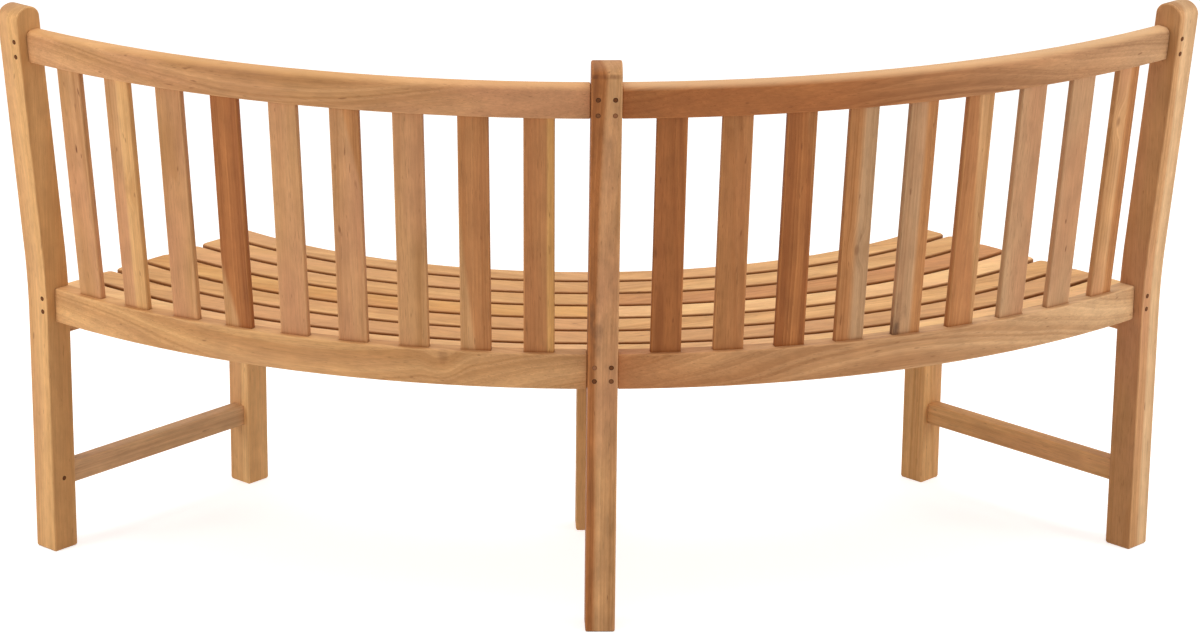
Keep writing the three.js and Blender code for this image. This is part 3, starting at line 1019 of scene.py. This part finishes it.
for side, slats in SLATS.items():
    for number, (tone, cut) in enumerate(slats, start=1):
        node = f"back_slat_{side}_{number}"
        turn = SIDES[side] * BAY_ANGLE * number / (len(slats) + 1)
        # The joint at the foot of a slat gets painted shade and some dust.
        joint = (RAIL_TOP - middle_of(node).z) / math.cos(BACK_LEAN)
        cut = from_log(node, near=35 * MM, far=90 * MM, spread=30 * MM) | {"Joint": joint} | cut
        paint(node, upright_axes(turn, BACK_LEAN), tone, cut)
print("Slats:", sum(len(slats) for slats in SLATS.values()))

# %% [markdown]
# ## The seat boards and the rails
# Rows count from the front. The boards are the palest wood on the bench, but for the third row of
# the right bay. Their two long sides get painted shade, except the front one of the first row, and
# all but the last row have a rim of painted shade beside the gap behind them. The right bay's top
# rail is russet towards the centre post and turns to grey brown at its other end. Both top rails
# get painted light along their tops, the right one more.

# %% Materials of the boards and rails
# How dark the painted shade on the sides of a board is.
GAP_SIDE_SHADE = 0.85
BOARDS = {
    "left": ["honey", "straw", "straw", "golden", "straw", "straw", "cream"],
    "right": ["straw", "straw", "amber", "cream", "straw", "honey", "cream"],
}
RAILS = {
    # worn() paints light on the tops of the top rails.
    "top_rail_left": ("tan", worn("straw", 0.45)),
    "top_rail_right": ("russet", changing("grey brown", 0.2, -0.5) | worn("bleached", 0.7)),
    "lower_back_rail_left": ("honey", changing("tan", 0.0, -0.5) | knot(-237, 73, 20, 0.35)),
    "lower_back_rail_right": ("brown", changing("bleached", 0.55, -0.35) | {"Figure": 1.1}),
    "front_rail_left": ("tan", {}),
    "front_rail_right": ("golden", {}),
}
for side, tones in BOARDS.items():
    for row, tone in enumerate(tones, start=1):
        node = f"seat_board_{side}_{row}"
        cut = from_log(node, near=60 * MM, far=140 * MM, spread=40 * MM)
        cut |= {"Plus Side": GAP_SIDE_SHADE, "Minus Side": GAP_SIDE_SHADE if row > 1 else 0}
        axes = curved_axes(SIDES[side] * BAY_ANGLE / 2)
        if row < len(tones):
            # A rim of painted shade on the top, beside the gap behind the board.
            to_circle = arc_centre - middle_of(node)
            cut["Circle"] = [to_circle.dot(axis) for axis in axes]
            cut["Rim"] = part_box(node)[1].y - arc_centre.y
        paint(node, axes, tone, cut)
for node, (tone, cut) in RAILS.items():
    cut = from_log(node, near=60 * MM, far=120 * MM, spread=40 * MM) | cut
    axes = curved_axes(SIDES[node.split("_")[-1]] * BAY_ANGLE / 2)
    paint(node, axes, tone, cut)
print("Pieces with a finish:", sum(bool(piece.data.materials) for piece in pieces.values()))

# %% [markdown]
# ## The dowels
# Each rail is locked in its post by two dowels of 8 mm, driven in from behind, and cut off nearly
# flush. Their end grain and the line of glue round them have turned dark. Each one is placed by a
# ray that is shot at the back of the post, so that it sits on the wood whatever the lean.

# %% Where the dowels go
DOWEL = 8 * MM
DOWEL_LENGTH = 6 * MM
DOWEL_PROUD = 0.3 * MM
DOWEL_EASE = 0.8 * MM
DOWEL_SIDES = 28
DOWEL_OFFSET = 12.5 * MM
DOWEL_HEIGHTS = {"top": (846.5 * MM, 822.5 * MM), "lower": (425 * MM, 403.5 * MM)}
RAY_START = 2.0


def surface_at(node, start, direction):
    """Where a ray meets a piece, and the way that the surface faces there."""
    tree = BVHTree.FromObject(pieces[node], bpy.context.evaluated_depsgraph_get())
    place, facing, _, _ = tree.ray_cast(start, direction)
    return place, facing


def dowel_places():
    """Name, place and facing of the end of each dowel in the back of a post."""
    for post, place in SIDES.items():
        turn = place * BAY_ANGLE
        for side in (-1, 1):
            if abs(place + side) > 1:
                continue
            for rail, heights in DOWEL_HEIGHTS.items():
                for number, height in enumerate(heights, start=1):
                    start = arc_centre + outward(turn) * RAY_START + UP * height
                    start += around(turn) * side * DOWEL_OFFSET
                    label = "left" if side > 0 else "right"
                    name = f"dowel_{post}_post_{rail}_{label}_{number}"
                    yield name, *surface_at(f"back_post_{post}", start, -outward(turn))


for name, place, facing in list(dowel_places())[:2]:
    print(name, [round(value, 4) for value in place], [round(value, 3) for value in facing])

# %% [markdown]
# ## A material for end grain
# The dowel's own UV map puts the middle of its end at the middle of the map, so the dark ring of
# glue stays round on each of them.

# %% Dowel finish
def dowel_finish(name, core_code, rim_code):
    """End grain of an oiled hardwood dowel, with a dark line of glue round it."""
    material, tree = empty_finish(name)
    spot = add_node(tree, "ShaderNodeTexCoord").outputs["UV"]
    off_centre = add_node(
        tree, "ShaderNodeVectorMath", {"operation": "DISTANCE"}, [spot, (0.5, 0.5, 0)]
    ).outputs["Value"]
    speckle = add_node(
        tree, "ShaderNodeTexNoise", inputs={"Vector": spot, "Scale": 7, "Detail": 3}
    ).outputs["Fac"]
    wavering = add_node(
        tree, "ShaderNodeMath", {"operation": "MULTIPLY_ADD"}, [speckle, 0.22, off_centre]
    ).outputs[0]
    rim = add_node(tree, "ShaderNodeMapRange", inputs=[wavering, 0.36, 0.56, 0, 1]).outputs[0]
    colour = add_node(
        tree, "ShaderNodeMix", COLOURS, {0: rim, 6: linear(core_code), 7: linear(rim_code)}
    ).outputs[2]
    dull = add_node(tree, "ShaderNodeMapRange", inputs=[speckle, 0.3, 0.7, 0.6, 0.85]).outputs[0]
    wood_surface(tree, colour, dull, speckle, strength=0.5, depth=0.15 * MM)
    return material


dark_dowel = dowel_finish("end grain of a dowel, dark", "#6A3A16", "#3E200A")
worn_dowel = dowel_finish("end grain of a dowel, worn", "#7A4A28", "#543014")
faint_dowel = dowel_finish("end grain of a dowel, faint", "#94603E", "#744828")
print("Dowel finishes:", dark_dowel.name, worn_dowel.name, faint_dowel.name, sep="\n")

# %% Make the dowels
def dowel(name, place, facing, material):
    """A short round peg with an eased end, a hair proud of the surface."""
    mesh = bpy.data.meshes.new(name)
    body = bmesh.new()
    bmesh.ops.create_cone(
        body,
        cap_ends=True,
        segments=DOWEL_SIDES,
        radius1=DOWEL / 2,
        radius2=DOWEL / 2,
        depth=DOWEL_LENGTH,
    )
    body.faces.ensure_lookup_table()
    rim = [edge for edge in body.edges if all(vert.co.z > 0 for vert in edge.verts)]
    bmesh.ops.bevel(
        body,
        geom=rim,
        offset=DOWEL_EASE,
        segments=EASE_SEGMENTS,
        profile=0.5,
        affect="EDGES",
        material=-1,
    )
    uv = body.loops.layers.uv.new("end")
    for face in body.faces:
        face.smooth = True
        for loop in face.loops:
            loop[uv].uv = (loop.vert.co.xy / DOWEL) + Vector((0.5, 0.5))
    turn = facing.to_track_quat("Z", "Y").to_matrix().to_4x4()
    centre = place + facing * (DOWEL_PROUD - DOWEL_LENGTH / 2)
    body.transform(Matrix.Translation(centre) @ turn)
    body.to_mesh(mesh)
    body.free()
    mesh.materials.append(material)
    piece = add_object(name, mesh)
    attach(piece, "root")
    return piece


LIGHTER_DOWELS = {
    "dowel_centre_post_top_left_2": worn_dowel,
    "dowel_centre_post_top_right_2": faint_dowel,
    "dowel_centre_post_lower_left_1": faint_dowel,
    "dowel_centre_post_lower_right_2": worn_dowel,
}
dowels = []
for name, place, facing in dowel_places():
    dowels.append(dowel(name, place, facing, LIGHTER_DOWELS.get(name, dark_dowel)))
print("Dowels behind:", len(dowels))

# %% The one dowel that holds a stretcher
# It goes into the left post's inner face, through the tenon of the side stretcher.
STRETCHER_DOWEL_HEIGHT = 120.5 * MM
POST_MIDDLE_RADIUS = 1242 * MM
CLEAR_OF_POST = 100 * MM
left_turn = SIDES["left"] * BAY_ANGLE
start = arc_centre + outward(left_turn) * POST_MIDDLE_RADIUS + UP * STRETCHER_DOWEL_HEIGHT
start -= around(left_turn) * CLEAR_OF_POST
place, facing = surface_at("back_post_left", start, around(left_turn))
dowels.append(dowel("dowel_left_post_stretcher", place, facing, dark_dowel))
print("Dowels:", len(dowels))

# %% [markdown]
# ## Floor and light
# The bench stands on a plain pale floor. The floor is matt. To the camera it is a little brighter
# than it is to the bench, so that it comes out white and keeps only a soft shadow, without more
# light on the wood.

# %% Floor
FLOOR_SIZE = 60
FLOOR_LIFT = 0.6
floor_mesh = bpy.data.meshes.new("floor")
floor_body = bmesh.new()
bmesh.ops.create_grid(floor_body, x_segments=1, y_segments=1, size=FLOOR_SIZE / 2)
floor_body.to_mesh(floor_mesh)
floor_body.free()
floor = add_object("floor", floor_mesh)
floor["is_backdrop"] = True


def seen_directly(tree):
    """1 for camera, glossy and transmission rays, and 0 for the light that falls on things."""
    rays = add_node(tree, "ShaderNodeLightPath").outputs
    first = add_node(
        tree,
        "ShaderNodeMath",
        {"operation": "MAXIMUM"},
        [rays["Is Camera Ray"], rays["Is Glossy Ray"]],
    ).outputs[0]
    return add_node(
        tree, "ShaderNodeMath", {"operation": "MAXIMUM"}, [first, rays["Is Transmission Ray"]]
    ).outputs[0]


floor_finish, floor_tree = empty_finish("matt white paper sweep")
matt = add_node(
    floor_tree, "ShaderNodeBsdfDiffuse", inputs={"Color": linear("#E6E5E3")}
).outputs[0]
lift = add_node(
    floor_tree,
    "ShaderNodeMath",
    {"operation": "MULTIPLY"},
    [seen_directly(floor_tree), FLOOR_LIFT],
).outputs[0]
glow = add_node(floor_tree, "ShaderNodeEmission", inputs={"Strength": lift}).outputs[0]
both = add_node(floor_tree, "ShaderNodeAddShader", inputs=[matt, glow]).outputs[0]
add_node(floor_tree, "ShaderNodeOutputMaterial", inputs={"Surface": both})
floor_mesh.materials.append(floor_finish)
print("Floor, metres across:", FLOOR_SIZE)

# %% Sky
# A white studio all round: white where it is seen, and less than half of that as light.
SKY_LIGHT = 0.45
world = bpy.data.worlds.new("white studio")
bpy.context.scene.world = world
world.use_nodes = True
sky = world.node_tree
sky.nodes.clear()
sky_strength = add_node(
    sky, "ShaderNodeMapRange", inputs=[seen_directly(sky), 0, 1, SKY_LIGHT, 1]
).outputs[0]
sky_colour = add_node(
    sky, "ShaderNodeBackground", inputs={"Color": linear("#FFFFFF"), "Strength": sky_strength}
).outputs[0]
add_node(sky, "ShaderNodeOutputWorld", inputs={"Surface": sky_colour})
print("Light of the sky:", SKY_LIGHT)

# %% [markdown]
# Large lamps make soft light. The main one hangs over the bench and makes the seat and the tops of
# the rails the brightest faces. Two small ones stand beside the ends of the bench, so that the end
# posts are lighter than the centre one, as the photograph shows. A wide one behind the camera
# fills the back of the bench.

# %% Lamps
LAMPS = {
    "over the bench": ((0.0, 0.0, 4.2), (0.0, 0.0, 0.5), 4.0, 105),
    "left end": ((2.6, 0.9, 1.15), (0.8, 0.0, 0.5), 1.2, 20),
    "right end": ((-2.6, 0.9, 1.15), (-0.8, 0.0, 0.5), 1.2, 20),
    "behind the camera": ((0.0, 6.5, 1.6), (0.0, 0.0, 0.4), 3.0, 38),
}
for name, (place, aim, size, power) in LAMPS.items():
    lamp = bpy.data.lights.new(name, "AREA")
    lamp.shape = "DISK"
    lamp.size = size
    lamp.energy = power
    holder = add_object(name, lamp)
    holder.location = place
    holder.rotation_euler = (Vector(aim) - Vector(place)).to_track_quat("-Z", "Y").to_euler()
    print("Lamp", name, "at", place, "with", power, "watts")

bpy.context.scene.view_settings.view_transform = "Standard"

# %% [markdown]
# ## Sizes, and the end
# The dressed bench should fit in the box of the CAD model. Its own box is printed.

# %% Print the box of the dressed bench
visual_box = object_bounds()
rounded = [tuple(round(value, 4) for value in corner) for corner in visual_box]
print("Visual box in metres:", rounded)
